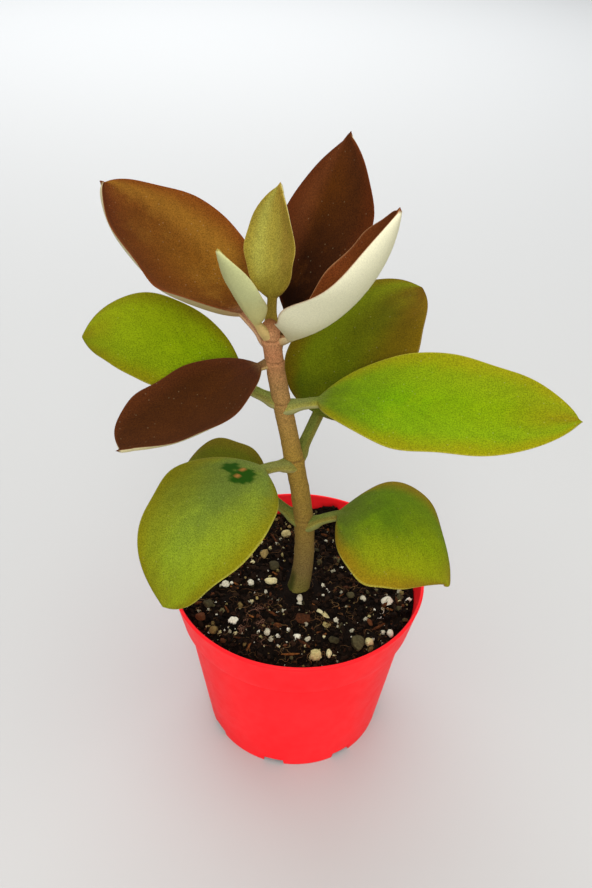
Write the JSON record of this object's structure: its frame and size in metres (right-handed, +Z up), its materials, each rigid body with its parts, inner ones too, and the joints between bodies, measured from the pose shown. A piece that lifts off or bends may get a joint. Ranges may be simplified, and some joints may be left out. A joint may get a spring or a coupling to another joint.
{
  "type": "potted kalanchoe",
  "caption": "Young copper-leaved kalanchoe with felted spoon-shaped leaves in opposite pairs, growing in gritty soil in a red nursery pot.",
  "frame": {"origin": "middle of the underside of the pot's floor, on the surface that the pot stands on", "axes": "+Z up along the pot's axis; -Y is the front, the side the plant is seen from; +X is to the viewer's right"},
  "size_m": [0.151, 0.0913, 0.2134],
  "materials": {
    "pot_plastic": "satin",
    "potting_mix": "matte",
    "root_wood": "matte",
    "stem_felt": "matte",
    "leaf_moss": "matte",
    "leaf_olive": "matte",
    "leaf_lime": "matte",
    "leaf_chocolate": "matte",
    "leaf_pale_felt": "matte",
    "leaf_copper": "matte",
    "leaf_young": "matte",
    "pumice": "matte",
    "perlite": "matte",
    "dark_stone": "matte",
    "clay_stone": "matte",
    "tan_stone": "matte",
    "bark": "matte"
  },
  "bodies": {
    "root": {"pot": "pot_plastic", "soil": "potting_mix", "roots": "root_wood", "stem": "stem_felt", "leaf_1_right": "leaf_moss", "leaf_1_left": "leaf_olive", "leaf_2_front": "leaf_moss", "leaf_2_back": "leaf_olive", "leaf_3_right": "leaf_lime", "leaf_3_left": "leaf_lime", "leaf_4_front": "leaf_chocolate", "leaf_4_back": "leaf_chocolate", "leaf_5_front": "leaf_pale_felt", "leaf_5_back": "leaf_copper", "leaf_6_back": "leaf_young", "leaf_6_front": "leaf_pale_felt", "pumice_1": "pumice", "pumice_2": "pumice", "pumice_3": "pumice", "pumice_4": "pumice", "perlite_1": "perlite", "perlite_2": "perlite", "perlite_3": "perlite", "perlite_4": "perlite", "perlite_5": "perlite", "perlite_6": "perlite", "perlite_7": "perlite", "perlite_8": "perlite", "perlite_9": "perlite", "perlite_10": "perlite", "stone_1": "dark_stone", "stone_2": "dark_stone", "stone_3": "dark_stone", "stone_4": "clay_stone", "stone_5": "tan_stone", "stone_6": "dark_stone", "stone_7": "tan_stone", "stone_8": "dark_stone", "stone_9": "dark_stone", "bark_1": "bark", "bark_2": "bark", "perlite_11": "perlite", "pumice_5": "pumice"}
  },
  "joints": []
}
